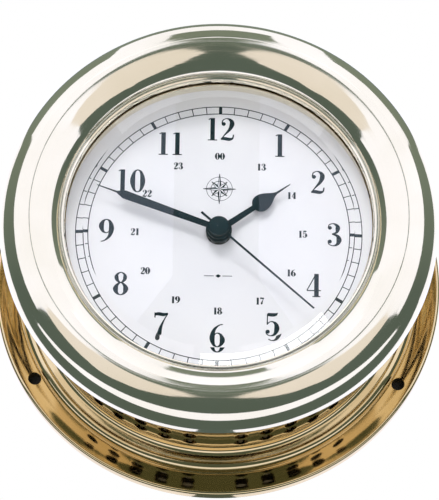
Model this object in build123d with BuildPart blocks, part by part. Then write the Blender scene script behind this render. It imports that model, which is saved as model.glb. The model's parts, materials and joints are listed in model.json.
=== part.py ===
from build123d import *
import math
import os

# Ship's deck clock, millimetres. The dial faces -Y, 12 o'clock is +Z, and the wall plane is y = 0.
# Every height is measured forward from the wall, so a height h lies at y = -h.

# ---- case ----
FLANGE_R = 92.0
DRUM_R = 74.4
DRUM_WALL = 2.8
NECK_R = 72.0
SHOULDER_H = 58.0
NECK_TOP_H = 65.8
COVE_TOP_H = 12.6
SOLDER_GAP = 0.03
SEAT_BORE_R = 63.0
SEAT_SHOULDER_R = 67.4
SEAT_BACK_H = 53.4
SEAT_FRONT_H = 56.8
POCKET_R = 68.4
COVER_R = 71.5
COVER_SHEET = 0.8
COVER_REAR_H = 3.0
COVER_FLOOR_H = 9.0
COVER_WINDOW = 64.0
COVER_BEAD_R = 58.0
SCREW_CIRCLE_R = 86.0
SCREW_HOLE_R = 2.7
SOUND_HOLE_R = 2.7
SOUND_ROWS_H = (17.2, 24.0)
SOUND_PITCH_DEG = 8.0
SOUND_COLUMNS_PER_SIDE = 5
THREAD_PITCH = 2.0
THREAD_TURNS = 3

# ---- bezel and crystal ----
BEZEL_R = 87.2
BEZEL_APEX_R = 75.6
BEZEL_TOP_H = 80.0
BEZEL_REAR_H = 56.6
BEZEL_BORE_R = 72.1
BEZEL_LIP_R = 61.3
CRYSTAL_R = 63.2
CRYSTAL_BACK_H = 68.2
CRYSTAL_EDGE_H = 70.2
CRYSTAL_FRONT_H = 72.2
CRYSTAL_FLAT_R = 54.0

# ---- dial ----
DIAL_R = 68.0
DIAL_FRONT_H = 57.8
REFLECTOR_R = 60.9
DIAL_SCREW_CIRCLE_R = 65.6

# ---- hands: the clock shows 1:48:22 ----
HOUR_ANGLE = 54.2
MINUTE_ANGLE = 290.4
SECOND_ANGLE = 132.0
HOUR_HAND_H = 60.4
MINUTE_HAND_H = 62.2
SECOND_HAND_H = 63.9

# ---- movement ----
BOX_HALF = 28.5
BOX_WALL = 1.2
BOX_BACK_H = 38.0
PLATE_BACK_H = 54.5
PLATE_FRONT_H = 56.0
BATTERY_R = 7.2
BATTERY_Z = -20.0
BATTERY_H = 46.9
BATTERY_LENGTH = 49.0
RUNNING_FIT = 0.06

# Gear pairs, as module and tooth counts.
MOTOR_MODULE = 0.30
ROTOR_TEETH = 10
INTERMEDIATE_TEETH = 50
INTERMEDIATE_PINION_TEETH = 10
SECONDS_TEETH = 60
THIRD_MODULE = 0.34
SECONDS_PINION_TEETH = 8
THIRD_TEETH = 64
CENTRE_MODULE = 0.36
THIRD_PINION_TEETH = 8
CENTRE_TEETH = 60
MOTION_MODULE = 0.25
CANNON_TEETH = 15
MINUTE_WHEEL_TEETH = 45
MINUTE_PINION_TEETH = 12
HOUR_TEETH = 48
KNOB_TEETH = 15


def polar(distance, degrees, start=(0.0, 0.0)):
    """A point in the dial plane, anticlockwise from +X as seen from the front."""
    angle = math.radians(degrees)
    return (start[0] + distance * math.cos(angle), start[1] + distance * math.sin(angle))


def centre_distance(module, teeth_a, teeth_b):
    return module * (teeth_a + teeth_b) / 2


# Directions from one wheel's axis to the next, in degrees.
TO_THIRD = 135.0
TO_INTERMEDIATE = 20.0
TO_ROTOR = 30.0
TO_MINUTE_WHEEL = 60.0
TO_KNOB = 80.0

THIRD_AT = polar(centre_distance(THIRD_MODULE, SECONDS_PINION_TEETH, THIRD_TEETH), TO_THIRD)
INTERMEDIATE_AT = polar(
    centre_distance(MOTOR_MODULE, SECONDS_TEETH, INTERMEDIATE_PINION_TEETH), TO_INTERMEDIATE
)
ROTOR_AT = polar(
    centre_distance(MOTOR_MODULE, ROTOR_TEETH, INTERMEDIATE_TEETH), TO_ROTOR, INTERMEDIATE_AT
)
MINUTE_WHEEL_AT = polar(
    centre_distance(MOTION_MODULE, CANNON_TEETH, MINUTE_WHEEL_TEETH), TO_MINUTE_WHEEL
)
KNOB_AT = polar(
    centre_distance(MOTION_MODULE, KNOB_TEETH, MINUTE_WHEEL_TEETH), TO_KNOB, MINUTE_WHEEL_AT
)


def facing(height, clockwise=0.0, at=(0.0, 0.0)):
    """A plane seen from the front at this height, its y axis turned clockwise from 12 o'clock."""
    angle = math.radians(clockwise)
    return Plane(
        origin=(at[0], -height, at[1]),
        x_dir=(math.cos(angle), 0, -math.sin(angle)),
        z_dir=(0, -1, 0),
    )


def turned(*points):
    """A solid of revolution about the clock's axis from (radius, height) corners."""
    with BuildPart() as solid:
        with BuildSketch(Plane.XY):
            with BuildLine():
                Polyline(*[(radius, -height) for radius, height in points], close=True)
            make_face()
        revolve(axis=Axis.Y)
    return solid.part


def tube(outer, inner, rear, front, at=(0.0, 0.0)):
    """A plain ring or, with no inner radius, a disc, along the clock's axis."""
    with BuildPart() as solid:
        with BuildSketch(facing(rear, at=at)):
            Circle(outer)
            if inner:
                Circle(inner, mode=Mode.SUBTRACT)
        extrude(amount=front - rear)
    return solid.part


def toothed(module, teeth, tooth_at, bore, rear, front, at=(0.0, 0.0)):
    """A spur wheel with straight-flanked teeth, one of them centred on the direction tooth_at."""
    pitch_r = module * teeth / 2
    root_r = pitch_r - 1.15 * module
    tip_r = pitch_r + 0.85 * module
    pitch_deg = 360.0 / teeth
    corners = []
    for tooth in range(teeth):
        centre = tooth_at + tooth * pitch_deg
        corners.append(polar(root_r, centre - 0.29 * pitch_deg))
        corners.append(polar(tip_r, centre - 0.10 * pitch_deg))
        corners.append(polar(tip_r, centre + 0.10 * pitch_deg))
        corners.append(polar(root_r, centre + 0.29 * pitch_deg))
    with BuildPart() as wheel:
        with BuildSketch(facing(rear, at=at)):
            with BuildLine():
                Polyline(*corners, close=True)
            make_face()
            Circle(bore, mode=Mode.SUBTRACT)
        extrude(amount=front - rear)
    return wheel.part


def box(width, depth, tall, at=(0.0, 0.0), rear=0.0):
    """A block: width along X, tall along Z, standing depth forward of the height rear."""
    with BuildPart() as solid:
        with BuildSketch(facing(rear, at=at)):
            Rectangle(width, tall)
        extrude(amount=depth)
    return solid.part


# ======== case ========

with BuildPart() as wall_flange:
    # Dished flange, bead, step and cove, turned as one ring and soldered on the drum.
    with BuildSketch(Plane.XY):
        with BuildLine():
            Polyline(
                (DRUM_R + SOLDER_GAP, 0),
                (FLANGE_R - 0.8, 0),
                (FLANGE_R, -0.8),
                (FLANGE_R, -4.8),
                (FLANGE_R - 0.8, -5.6),
            )
            ThreePointArc((FLANGE_R - 0.8, -5.6), (87.2, -4.75), (83.0, -4.3))
            Polyline((83.0, -4.3), (83.0, -3.9), (82.4, -3.9), (82.4, -5.2))
            ThreePointArc((82.4, -5.2), (81.5, -7.3), (79.4, -8.2))
            Polyline((79.4, -8.2), (79.0, -8.2), (79.0, -8.8))
            ThreePointArc((79.0, -8.8), (75.9, -10.2), (DRUM_R + 0.3, -COVE_TOP_H))
            Polyline(
                (DRUM_R + 0.3, -COVE_TOP_H),
                (DRUM_R + SOLDER_GAP, -COVE_TOP_H),
                (DRUM_R + SOLDER_GAP, 0),
            )
        make_face()
    revolve(axis=Axis.Y)
    # Three fixing holes at 12, 4 and 8 o'clock, with eased mouths.
    for clockwise in (0, 120, 240):
        with BuildSketch(facing(-1.0, clockwise)):
            with Locations((0, SCREW_CIRCLE_R)):
                Circle(SCREW_HOLE_R)
        extrude(amount=10.0, mode=Mode.SUBTRACT)
        with BuildSketch(facing(4.1, clockwise)):
            with Locations((0, SCREW_CIRCLE_R)):
                Circle(SCREW_HOLE_R)
        extrude(amount=1.2, taper=-30, mode=Mode.SUBTRACT)
wall_flange.part.label = "wall_flange"

with BuildPart() as case_drum:
    # Drum wall, shoulder and threaded neck, with an inner shoulder that carries the dial seat.
    add(
        turned(
            (DRUM_R - DRUM_WALL, 0),
            (DRUM_R, 0),
            (DRUM_R, SHOULDER_H - 0.5),
            (DRUM_R - 0.5, SHOULDER_H),
            (NECK_R, SHOULDER_H),
            (NECK_R, NECK_TOP_H - 0.6),
            (NECK_R - 0.6, NECK_TOP_H),
            (POCKET_R, NECK_TOP_H),
            (POCKET_R, SEAT_BACK_H),
            (SEAT_SHOULDER_R, SEAT_BACK_H),
            (SEAT_SHOULDER_R, SEAT_BACK_H - 1.2),
            (DRUM_R - DRUM_WALL, SEAT_BACK_H - 5.0),
        )
    )
    # Sound holes: two rows low on the drum, the middle column left solid.
    for column in range(1, SOUND_COLUMNS_PER_SIDE + 1):
        for side in (-1, 1):
            angle = math.radians(-90 + side * column * SOUND_PITCH_DEG)
            outward = (math.cos(angle), 0, math.sin(angle))
            for height in SOUND_ROWS_H:
                start = (70 * outward[0], -height, 70 * outward[2])
                with BuildSketch(Plane(origin=start, x_dir=(0, 1, 0), z_dir=outward)):
                    Circle(SOUND_HOLE_R)
                extrude(amount=8.0, mode=Mode.SUBTRACT)
    # Thread of the neck, drawn as rings.
    for turn in range(THREAD_TURNS):
        root = SHOULDER_H + 2.2 + turn * THREAD_PITCH
        add(
            turned((NECK_R + 0.1, root - 0.5), (NECK_R - 0.5, root), (NECK_R + 0.1, root + 0.5)),
            mode=Mode.SUBTRACT,
        )
case_drum.part.label = "case_drum"

with BuildPart() as dial_seat:
    add(tube(POCKET_R, SEAT_BORE_R, SEAT_BACK_H, SEAT_FRONT_H))
    # Tapped holes for the dial screws.
    for clockwise in (60, 180, 300):
        with BuildSketch(facing(SEAT_BACK_H - 1.0, clockwise)):
            with Locations((0, DIAL_SCREW_CIRCLE_R)):
                Circle(1.25)
        extrude(amount=6.0, mode=Mode.SUBTRACT)
dial_seat.part.label = "dial_seat"

with BuildPart() as dust_cover:
    # A shallow pressed dish in the back of the drum, with a window for the battery and the knob.
    add(tube(COVER_R, COVER_R - COVER_SHEET, COVER_REAR_H, COVER_FLOOR_H))
    add(tube(COVER_R, 0, COVER_FLOOR_H - COVER_SHEET, COVER_FLOOR_H))
    with BuildSketch(facing(COVER_REAR_H - 1.0)):
        RectangleRounded(COVER_WINDOW, COVER_WINDOW, 5.0)
    extrude(amount=COVER_FLOOR_H, mode=Mode.SUBTRACT)
    # A raised bead round the floor stiffens it.
    add(tube(COVER_BEAD_R + 1.2, COVER_BEAD_R - 1.2, COVER_FLOOR_H, COVER_FLOOR_H + 0.8))
dust_cover.part.label = "dust_cover"

# ======== bezel and crystal ========

with BuildPart() as bezel:
    with BuildSketch(Plane.XY):
        with BuildLine():
            # From the rear bead round the fat front roll to the inner lips.
            Line((74.8, -BEZEL_REAR_H), (83.0, -BEZEL_REAR_H))
            ThreePointArc((83.0, -BEZEL_REAR_H), (83.9, -57.4), (83.2, -58.3))
            Line((83.2, -58.3), (83.9, -58.8))
            ThreePointArc((83.9, -58.8), (86.3, -63.0), (BEZEL_R, -68.0))
            ThreePointArc((BEZEL_R, -68.0), (83.9, -76.5), (BEZEL_APEX_R, -BEZEL_TOP_H))
            ThreePointArc((BEZEL_APEX_R, -BEZEL_TOP_H), (67.6, -78.1), (63.3, -73.6))
            Polyline(
                (63.3, -73.6),
                (62.6, -73.6),
                (62.6, -72.8),
                (61.9, -72.6),
                (BEZEL_LIP_R, -71.9),
                (BEZEL_LIP_R, -CRYSTAL_EDGE_H - 0.4),
                (CRYSTAL_R + 0.2, -CRYSTAL_EDGE_H - 0.4),
                (CRYSTAL_R + 0.2, -66.4),
                (BEZEL_BORE_R, -66.4),
                (BEZEL_BORE_R, -59.4),
                (74.8, -59.4),
                (74.8, -BEZEL_REAR_H),
            )
        make_face()
    revolve(axis=Axis.Y)
    # The forging is cored out from behind.
    add(
        turned((77.0, 56.0), (81.0, 56.0), (82.8, 66.0), (79.6, 73.6), (75.2, 72.4), (77.0, 66.0)),
        mode=Mode.SUBTRACT,
    )
    for turn in range(THREAD_TURNS):
        root = SHOULDER_H + 3.2 + turn * THREAD_PITCH
        add(
            turned(
                (BEZEL_BORE_R - 0.1, root - 0.5),
                (BEZEL_BORE_R + 0.5, root),
                (BEZEL_BORE_R - 0.1, root + 0.5),
            ),
            mode=Mode.SUBTRACT,
        )
bezel.part.label = "bezel"

with BuildPart() as crystal:
    add(
        turned(
            (0, CRYSTAL_BACK_H),
            (CRYSTAL_R - 0.3, CRYSTAL_BACK_H),
            (CRYSTAL_R, CRYSTAL_BACK_H + 0.3),
            (CRYSTAL_R, CRYSTAL_EDGE_H),
            (CRYSTAL_R - 1.6, CRYSTAL_EDGE_H),
            (CRYSTAL_FLAT_R, CRYSTAL_FRONT_H),
            (0, CRYSTAL_FRONT_H),
        )
    )
crystal.part.label = "crystal"

with BuildPart() as crystal_gasket:
    add(tube(CRYSTAL_R, CRYSTAL_R - 1.5, CRYSTAL_EDGE_H, CRYSTAL_EDGE_H + 0.4))
crystal_gasket.part.label = "crystal_gasket"

with BuildPart() as crystal_retaining_ring:
    add(
        turned(
            (60.8, 66.8),
            (61.4, 66.0),
            (CRYSTAL_R + 0.2, 66.0),
            (CRYSTAL_R + 0.2, CRYSTAL_BACK_H),
            (60.8, CRYSTAL_BACK_H),
        )
    )
    # Slots for the pin spanner that tightens it.
    for clockwise in (0, 90, 180, 270):
        with BuildSketch(facing(65.0, clockwise)):
            with Locations((0, 62.0)):
                Rectangle(2.0, 1.0)
        extrude(amount=2.0, mode=Mode.SUBTRACT)
crystal_retaining_ring.part.label = "crystal_retaining_ring"

with BuildPart() as bezel_seal:
    add(tube(74.5, NECK_R + 0.3, SHOULDER_H + 0.06, 59.34))
bezel_seal.part.label = "bezel_seal"

# ======== dial ========

with BuildPart() as dial_plate:
    add(tube(DIAL_R, 3.6, DIAL_FRONT_H - 1.0, DIAL_FRONT_H))
    for clockwise in (60, 180, 300):
        with BuildSketch(facing(SEAT_FRONT_H - 1.0, clockwise)):
            with Locations((0, DIAL_SCREW_CIRCLE_R)):
                Circle(1.4)
        extrude(amount=4.0, mode=Mode.SUBTRACT)
dial_plate.part.label = "dial_plate"

with BuildPart() as reflector_ring:
    # A polished collar that frames the dial, with a foot for the screws.
    add(
        turned(
            (REFLECTOR_R, DIAL_FRONT_H),
            (DIAL_R, DIAL_FRONT_H),
            (DIAL_R, DIAL_FRONT_H + 1.0),
            (62.0, DIAL_FRONT_H + 1.0),
            (62.0, 65.4),
            (REFLECTOR_R + 0.3, 65.4),
            (REFLECTOR_R, 65.1),
        )
    )
    for clockwise in (60, 180, 300):
        with BuildSketch(facing(DIAL_FRONT_H - 1.0, clockwise)):
            with Locations((0, DIAL_SCREW_CIRCLE_R)):
                Circle(1.4)
        extrude(amount=4.0, mode=Mode.SUBTRACT)
reflector_ring.part.label = "reflector_ring"

with BuildPart() as dial_screws:
    for clockwise in (60, 180, 300):
        with BuildSketch(facing(SEAT_FRONT_H - 3.6, clockwise)):
            with Locations((0, DIAL_SCREW_CIRCLE_R)):
                Circle(1.25)
        extrude(amount=DIAL_FRONT_H + 1.0 - SEAT_FRONT_H + 3.6)
        with BuildSketch(facing(DIAL_FRONT_H + 1.0, clockwise)):
            with Locations((0, DIAL_SCREW_CIRCLE_R)):
                Circle(2.0)
        extrude(amount=1.3)
        with BuildSketch(facing(DIAL_FRONT_H + 1.8, clockwise)):
            with Locations((0, DIAL_SCREW_CIRCLE_R)):
                Rectangle(4.4, 0.6)
        extrude(amount=1.0, mode=Mode.SUBTRACT)
dial_screws.part.label = "dial_screws"

# ======== hands ========

with BuildPart() as hour_hand:
    with BuildSketch(facing(HOUR_HAND_H, HOUR_ANGLE)):
        Circle(5.2)
        Polygon((-1.3, 3.0), (1.3, 3.0), (1.05, 18.6), (-1.05, 18.6), align=None)
        # Spade: a round bottom drawn out through concave flanks into a needle.
        with BuildLine():
            ThreePointArc((-3.6, 20.6), (0, 17.0), (3.6, 20.6))
            Spline(
                (3.6, 20.6), (0.4, 28.4), tangents=((0, 1), (-0.25, 1))
            )
            Polyline((0.4, 28.4), (0.12, 35.0), (-0.12, 35.0), (-0.4, 28.4))
            Spline(
                (-0.4, 28.4), (-3.6, 20.6), tangents=((-0.25, -1), (0, -1))
            )
        make_face()
        Circle(2.3, mode=Mode.SUBTRACT)
    extrude(amount=0.5)
    add(tube(5.2, 2.3, HOUR_HAND_H + 0.5, HOUR_HAND_H + 1.0))
hour_hand.part.label = "hour_hand"

with BuildPart() as minute_hand:
    with BuildSketch(facing(MINUTE_HAND_H, MINUTE_ANGLE)):
        Circle(4.7)
        Polygon(
            (-1.15, 2.0),
            (1.15, 2.0),
            (1.75, 40.6),
            (0.9, 42.6),
            (0.3, 44.0),
            (0.1, 52.4),
            (-0.1, 52.4),
            (-0.3, 44.0),
            (-0.9, 42.6),
            (-1.75, 40.6),
            align=None,
        )
        Circle(1.5, mode=Mode.SUBTRACT)
    extrude(amount=0.5)
    add(tube(4.7, 1.5, MINUTE_HAND_H + 0.5, MINUTE_HAND_H + 1.1))
minute_hand.part.label = "minute_hand"

with BuildPart() as second_hand:
    with BuildSketch(facing(SECOND_HAND_H, SECOND_ANGLE)):
        Circle(2.4)
        Polygon((-0.45, -9.5), (0.45, -9.5), (0.32, 51.2), (-0.32, 51.2), align=None)
        Circle(0.5, mode=Mode.SUBTRACT)
    extrude(amount=0.4)
second_hand.part.label = "second_hand"

with BuildPart() as hub_cap:
    # The black cap that hides the hand fixings, pressed on the seconds arbor.
    add(
        turned(
            (0.5, SECOND_HAND_H + 0.4),
            (4.2, SECOND_HAND_H + 0.4),
            (4.2, SECOND_HAND_H + 1.4),
            (3.8, SECOND_HAND_H + 1.8),
            (0, SECOND_HAND_H + 2.0),
            (0, SECOND_HAND_H + 1.2),
            (0.5, SECOND_HAND_H + 1.2),
        )
    )
hub_cap.part.label = "hub_cap"

# ======== movement housing ========

BUSH_R = 3.5
CASE_SCREWS_AT = ((-24.8, 24.8), (24.8, 24.8), (-25.2, -9.8), (25.2, -9.8))
COIL_AT = (14.3, 21.5)
COIL_H = 46.0
FLOOR_H = BOX_BACK_H + BOX_WALL

with BuildPart() as movement_rear_cover:
    with BuildSketch(facing(BOX_BACK_H)):
        RectangleRounded(2 * BOX_HALF, 2 * BOX_HALF, 5.0)
    extrude(amount=PLATE_BACK_H - BOX_BACK_H)
    with BuildSketch(facing(FLOOR_H)):
        RectangleRounded(2 * (BOX_HALF - BOX_WALL), 2 * (BOX_HALF - BOX_WALL), 3.8)
    extrude(amount=PLATE_BACK_H - FLOOR_H, mode=Mode.SUBTRACT)
    # Wall between the wheels and the battery bay, and the bay's open window.
    add(box(2 * (BOX_HALF - BOX_WALL), PLATE_BACK_H - FLOOR_H, 0.7, at=(0, -12.0), rear=FLOOR_H))
    add(box(53.0, 2.0, 15.0, at=(0, -20.0), rear=BOX_BACK_H - 0.4), mode=Mode.SUBTRACT)
    # Bearings and spacers on the floor.
    add(tube(1.5, 0, FLOOR_H, 41.0))
    add(tube(1.0, 0, FLOOR_H, 41.0, at=INTERMEDIATE_AT))
    add(tube(1.0, 0, FLOOR_H, 43.6, at=THIRD_AT))
    add(tube(0.9, 0, FLOOR_H, 41.3, at=ROTOR_AT))
    add(tube(2.0, 0, FLOOR_H, 42.0, at=KNOB_AT))
    add(tube(0.5 + RUNNING_FIT, 0, 39.5, 41.5), mode=Mode.SUBTRACT)
    add(tube(0.8 + RUNNING_FIT, 0, BOX_BACK_H - 0.5, 42.5, at=KNOB_AT), mode=Mode.SUBTRACT)
    for at in (INTERMEDIATE_AT, THIRD_AT, ROTOR_AT):
        add(tube(0.3, 0, FLOOR_H, 44.0, at=at), mode=Mode.SUBTRACT)
    for at in CASE_SCREWS_AT:
        add(tube(1.9, 0, FLOOR_H, PLATE_BACK_H, at=at))
        add(tube(0.9, 0, BOX_BACK_H - 0.5, PLATE_BACK_H + 0.5, at=at), mode=Mode.SUBTRACT)
movement_rear_cover.part.label = "movement_rear_cover"

with BuildPart() as movement_front_plate:
    with BuildSketch(facing(PLATE_BACK_H)):
        RectangleRounded(2 * BOX_HALF, 2 * BOX_HALF, 5.0)
        Circle(BUSH_R, mode=Mode.SUBTRACT)
    extrude(amount=PLATE_FRONT_H - PLATE_BACK_H)
    # Posts for the circuit board and the minute wheel.
    for at in ((-23.6, 16.4), (-7.4, 20.4)):
        add(tube(1.2, 0, 50.2, PLATE_BACK_H, at=at))
    add(tube(1.0, 0.5, 52.1, PLATE_BACK_H, at=MINUTE_WHEEL_AT))
    for at in CASE_SCREWS_AT:
        add(tube(0.9, 0, PLATE_BACK_H - 0.5, PLATE_BACK_H + 1.0, at=at), mode=Mode.SUBTRACT)
movement_front_plate.part.label = "movement_front_plate"

with BuildPart() as movement_screws:
    for at in CASE_SCREWS_AT:
        add(tube(0.9, 0, BOX_BACK_H, PLATE_BACK_H + 0.9, at=at))
        add(tube(1.7, 0, BOX_BACK_H - 1.0, BOX_BACK_H, at=at))
        add(box(3.8, 0.6, 0.5, at=at, rear=BOX_BACK_H - 1.2), mode=Mode.SUBTRACT)
        add(box(0.5, 0.6, 3.8, at=at, rear=BOX_BACK_H - 1.2), mode=Mode.SUBTRACT)
movement_screws.part.label = "movement_screws"

with BuildPart() as threaded_bush:
    add(tube(BUSH_R, 2.38, 53.3, 60.0))
    add(tube(6.0, BUSH_R, 53.3, PLATE_BACK_H))
threaded_bush.part.label = "threaded_bush"

with BuildPart() as rubber_washer:
    add(tube(9.0, BUSH_R + 0.1, PLATE_FRONT_H, DIAL_FRONT_H - 1.0))
rubber_washer.part.label = "rubber_washer"

with BuildPart() as nut_washer:
    add(tube(5.1, BUSH_R + 0.05, DIAL_FRONT_H, DIAL_FRONT_H + 0.4))
nut_washer.part.label = "nut_washer"

with BuildPart() as mounting_nut:
    with BuildSketch(facing(DIAL_FRONT_H + 0.4)):
        RegularPolygon(4.5, 6, major_radius=False)
        Circle(BUSH_R, mode=Mode.SUBTRACT)
    extrude(amount=1.7)
mounting_nut.part.label = "mounting_nut"

with BuildPart() as wheel_pins:
    add(tube(0.3, 0, FLOOR_H, 43.9, at=INTERMEDIATE_AT))
    add(tube(0.3, 0, FLOOR_H, 48.3, at=THIRD_AT))
    add(tube(0.3, 0, FLOOR_H, 47.6, at=ROTOR_AT))
    add(tube(0.5, 0, 48.9, PLATE_BACK_H, at=MINUTE_WHEEL_AT))
wheel_pins.part.label = "wheel_pins"

# ======== battery and electrics ========

with BuildPart() as battery:
    with BuildSketch(Plane.YZ.offset(-24.6)):
        with Locations((-BATTERY_H, BATTERY_Z)):
            Circle(BATTERY_R)
    extrude(amount=BATTERY_LENGTH + 0.3)
    fillet(battery.edges().filter_by(GeomType.CIRCLE), radius=0.6)
    with BuildSketch(Plane.YZ.offset(24.6)):
        with Locations((-BATTERY_H, BATTERY_Z)):
            Circle(2.7)
    extrude(amount=1.3)
battery.part.label = "battery"

with BuildPart() as battery_contact_positive:
    add(box(0.4, 8.0, 9.0, at=(26.2, BATTERY_Z), rear=BATTERY_H - 4.0))
    add(box(0.8, 0.4, 9.0, at=(26.8, BATTERY_Z), rear=BATTERY_H + 3.6))
battery_contact_positive.part.label = "battery_contact_positive"

with BuildPart() as battery_contact_negative:
    # A bowed leaf spring standing on the end wall of the bay.
    with BuildSketch(Plane.XY.offset(BATTERY_Z - 3.0)):
        with BuildLine():
            Polyline(
                (-27.2, -42.0),
                (-26.7, -42.0),
                (-24.75, -45.9),
                (-24.75, -47.9),
                (-26.7, -51.8),
                (-27.2, -51.8),
                (-27.2, -51.4),
                (-25.15, -47.8),
                (-25.15, -46.0),
                (-27.2, -42.4),
                close=True,
            )
        make_face()
    extrude(amount=6.0)
battery_contact_negative.part.label = "battery_contact_negative"

with BuildPart() as circuit_board:
    add(box(21.0, 0.8, 8.6, at=(-15.5, 18.4), rear=49.4))
    # Bare end of the board, where the coil wires are soldered.
    for step in range(3):
        add(tube(0.7, 0, 49.1, 49.4, at=(-7.0, 16.0 + 1.8 * step)))
circuit_board.part.label = "circuit_board"

with BuildPart() as driver_chip:
    with BuildSketch(facing(49.4, at=(-20.4, 18.4))):
        Circle(2.8)
    extrude(amount=-1.1, taper=25)
driver_chip.part.label = "driver_chip"

with BuildPart() as quartz_can:
    with BuildSketch(Plane.YZ.offset(-16.0)):
        with Locations((-47.9, 20.6)):
            Circle(1.45)
    extrude(amount=6.0)
    fillet(quartz_can.edges().filter_by(GeomType.CIRCLE), radius=0.3)
quartz_can.part.label = "quartz_can"

with BuildPart() as stator:
    with BuildSketch(facing(44.4)):
        with Locations(ROTOR_AT):
            Circle(6.2)
        Polygon(
            (12.0, 9.0),
            (16.0, 14.2),
            (12.0, 17.3),
            (5.4, 17.3),
            (5.4, 22.8),
            (2.4, 22.8),
            (2.4, 16.6),
            (6.0, 15.6),
            align=None,
        )
        Polygon(
            (17.5, 14.0),
            (23.5, 8.5),
            (26.2, 11.0),
            (26.2, 22.8),
            (23.2, 22.8),
            (23.2, 17.3),
            (20.5, 17.3),
            align=None,
        )
        # The rotor's hole, with the two thin necks that part the poles.
        with Locations(ROTOR_AT):
            Circle(3.5, mode=Mode.SUBTRACT)
            with Locations((0, 3.7), (0, -3.7)):
                Circle(0.7, mode=Mode.SUBTRACT)
    extrude(amount=0.8)
stator.part.label = "stator"

with BuildPart() as coil_core:
    add(box(23.0, 1.6, 1.6, at=COIL_AT, rear=45.2))
coil_core.part.label = "coil_core"

with BuildPart() as coil_bobbin:
    for x in (-8.0, 8.0):
        add(box(1.0, 7.6, 7.6, at=(COIL_AT[0] + x, COIL_AT[1]), rear=COIL_H - 3.8))
    add(box(15.2, 3.4, 3.4, at=COIL_AT, rear=COIL_H - 1.7))
    add(box(30.0, 1.6, 1.6, at=COIL_AT, rear=COIL_H - 0.8), mode=Mode.SUBTRACT)
coil_bobbin.part.label = "coil_bobbin"

with BuildPart() as coil_winding:
    with BuildSketch(Plane.YZ.offset(COIL_AT[0] - 7.5)):
        with Locations((-COIL_H, COIL_AT[1])):
            RectangleRounded(6.8, 6.8, 1.5)
            Rectangle(3.4, 3.4, mode=Mode.SUBTRACT)
    extrude(amount=15.0)
coil_winding.part.label = "coil_winding"

# ======== seconds train ========

with BuildPart() as rotor_magnet:
    add(tube(3.0, 0.9, 43.7, 46.7, at=ROTOR_AT))
rotor_magnet.part.label = "rotor_magnet"

with BuildPart() as rotor_pinion:
    tooth_at = 180 + TO_ROTOR + 180 / ROTOR_TEETH
    add(toothed(MOTOR_MODULE, ROTOR_TEETH, tooth_at, 0.3 + RUNNING_FIT, 42.3, 43.5, at=ROTOR_AT))
    add(tube(0.9, 0.3 + RUNNING_FIT, 41.5, 47.2, at=ROTOR_AT))
rotor_pinion.part.label = "rotor_pinion"

with BuildPart() as intermediate_wheel:
    bore = 0.3 + RUNNING_FIT
    add(toothed(MOTOR_MODULE, INTERMEDIATE_TEETH, TO_ROTOR, bore, 42.6, 43.2, at=INTERMEDIATE_AT))
    tooth_at = 180 + TO_INTERMEDIATE + 180 / INTERMEDIATE_PINION_TEETH
    add(
        toothed(
            MOTOR_MODULE, INTERMEDIATE_PINION_TEETH, tooth_at, bore, 41.2, 42.6, at=INTERMEDIATE_AT
        )
    )
intermediate_wheel.part.label = "intermediate_wheel"

with BuildPart() as seconds_wheel:
    add(toothed(MOTOR_MODULE, SECONDS_TEETH, TO_INTERMEDIATE, 0.5, 41.4, 42.2))
    add(tube(0.95, 0.5, 41.2, 43.6))
    add(toothed(THIRD_MODULE, SECONDS_PINION_TEETH, TO_THIRD, 0.5, 43.4, 45.0))
seconds_wheel.part.label = "seconds_wheel"

with BuildPart() as seconds_arbor:
    add(tube(0.5, 0, 39.7, SECOND_HAND_H + 1.2))
seconds_arbor.part.label = "seconds_arbor"

with BuildPart() as third_wheel:
    bore = 0.3 + RUNNING_FIT
    tooth_at = 180 + TO_THIRD + 180 / THIRD_TEETH
    add(toothed(THIRD_MODULE, THIRD_TEETH, tooth_at, bore, 43.8, 44.6, at=THIRD_AT))
    add(toothed(CENTRE_MODULE, THIRD_PINION_TEETH, 180 + TO_THIRD, bore, 44.6, 47.4, at=THIRD_AT))
third_wheel.part.label = "third_wheel"

with BuildPart() as centre_wheel:
    bore = 1.5 + RUNNING_FIT
    add(toothed(CENTRE_MODULE, CENTRE_TEETH, TO_THIRD + 180 / CENTRE_TEETH, bore, 46.0, 47.0))
    add(tube(2.4, bore, 45.7, 46.0))
centre_wheel.part.label = "centre_wheel"

# ======== hand-setting train ========

with BuildPart() as minute_tube:
    add(tube(1.5, 0.5 + RUNNING_FIT, 45.3, 63.3))
    add(tube(2.6, 1.5, 45.3, 45.6))
    add(toothed(MOTION_MODULE, CANNON_TEETH, TO_MINUTE_WHEEL, 1.5, 48.6, 50.4))
minute_tube.part.label = "minute_tube"

with BuildPart() as clutch_spring:
    # A dished washer that drags the minute tube round with the centre wheel.
    add(turned((1.5, 47.9), (1.5, 48.3), (2.0, 48.3), (3.4, 47.4), (3.4, 47.1), (2.0, 47.9)))
clutch_spring.part.label = "clutch_spring"

with BuildPart() as minute_wheel:
    bore = 0.5 + RUNNING_FIT
    tooth_at = 180 + TO_MINUTE_WHEEL + 180 / MINUTE_WHEEL_TEETH
    add(toothed(MOTION_MODULE, MINUTE_WHEEL_TEETH, tooth_at, bore, 49.2, 50.0, at=MINUTE_WHEEL_AT))
    add(
        toothed(
            MOTION_MODULE,
            MINUTE_PINION_TEETH,
            180 + TO_MINUTE_WHEEL,
            bore,
            50.0,
            52.0,
            at=MINUTE_WHEEL_AT,
        )
    )
minute_wheel.part.label = "minute_wheel"

with BuildPart() as hour_wheel:
    bore = 1.5 + RUNNING_FIT
    add(toothed(MOTION_MODULE, HOUR_TEETH, TO_MINUTE_WHEEL + 180 / HOUR_TEETH, bore, 50.8, 51.6))
    add(tube(2.3, bore, 50.7, 61.2))
hour_wheel.part.label = "hour_wheel"

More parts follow.
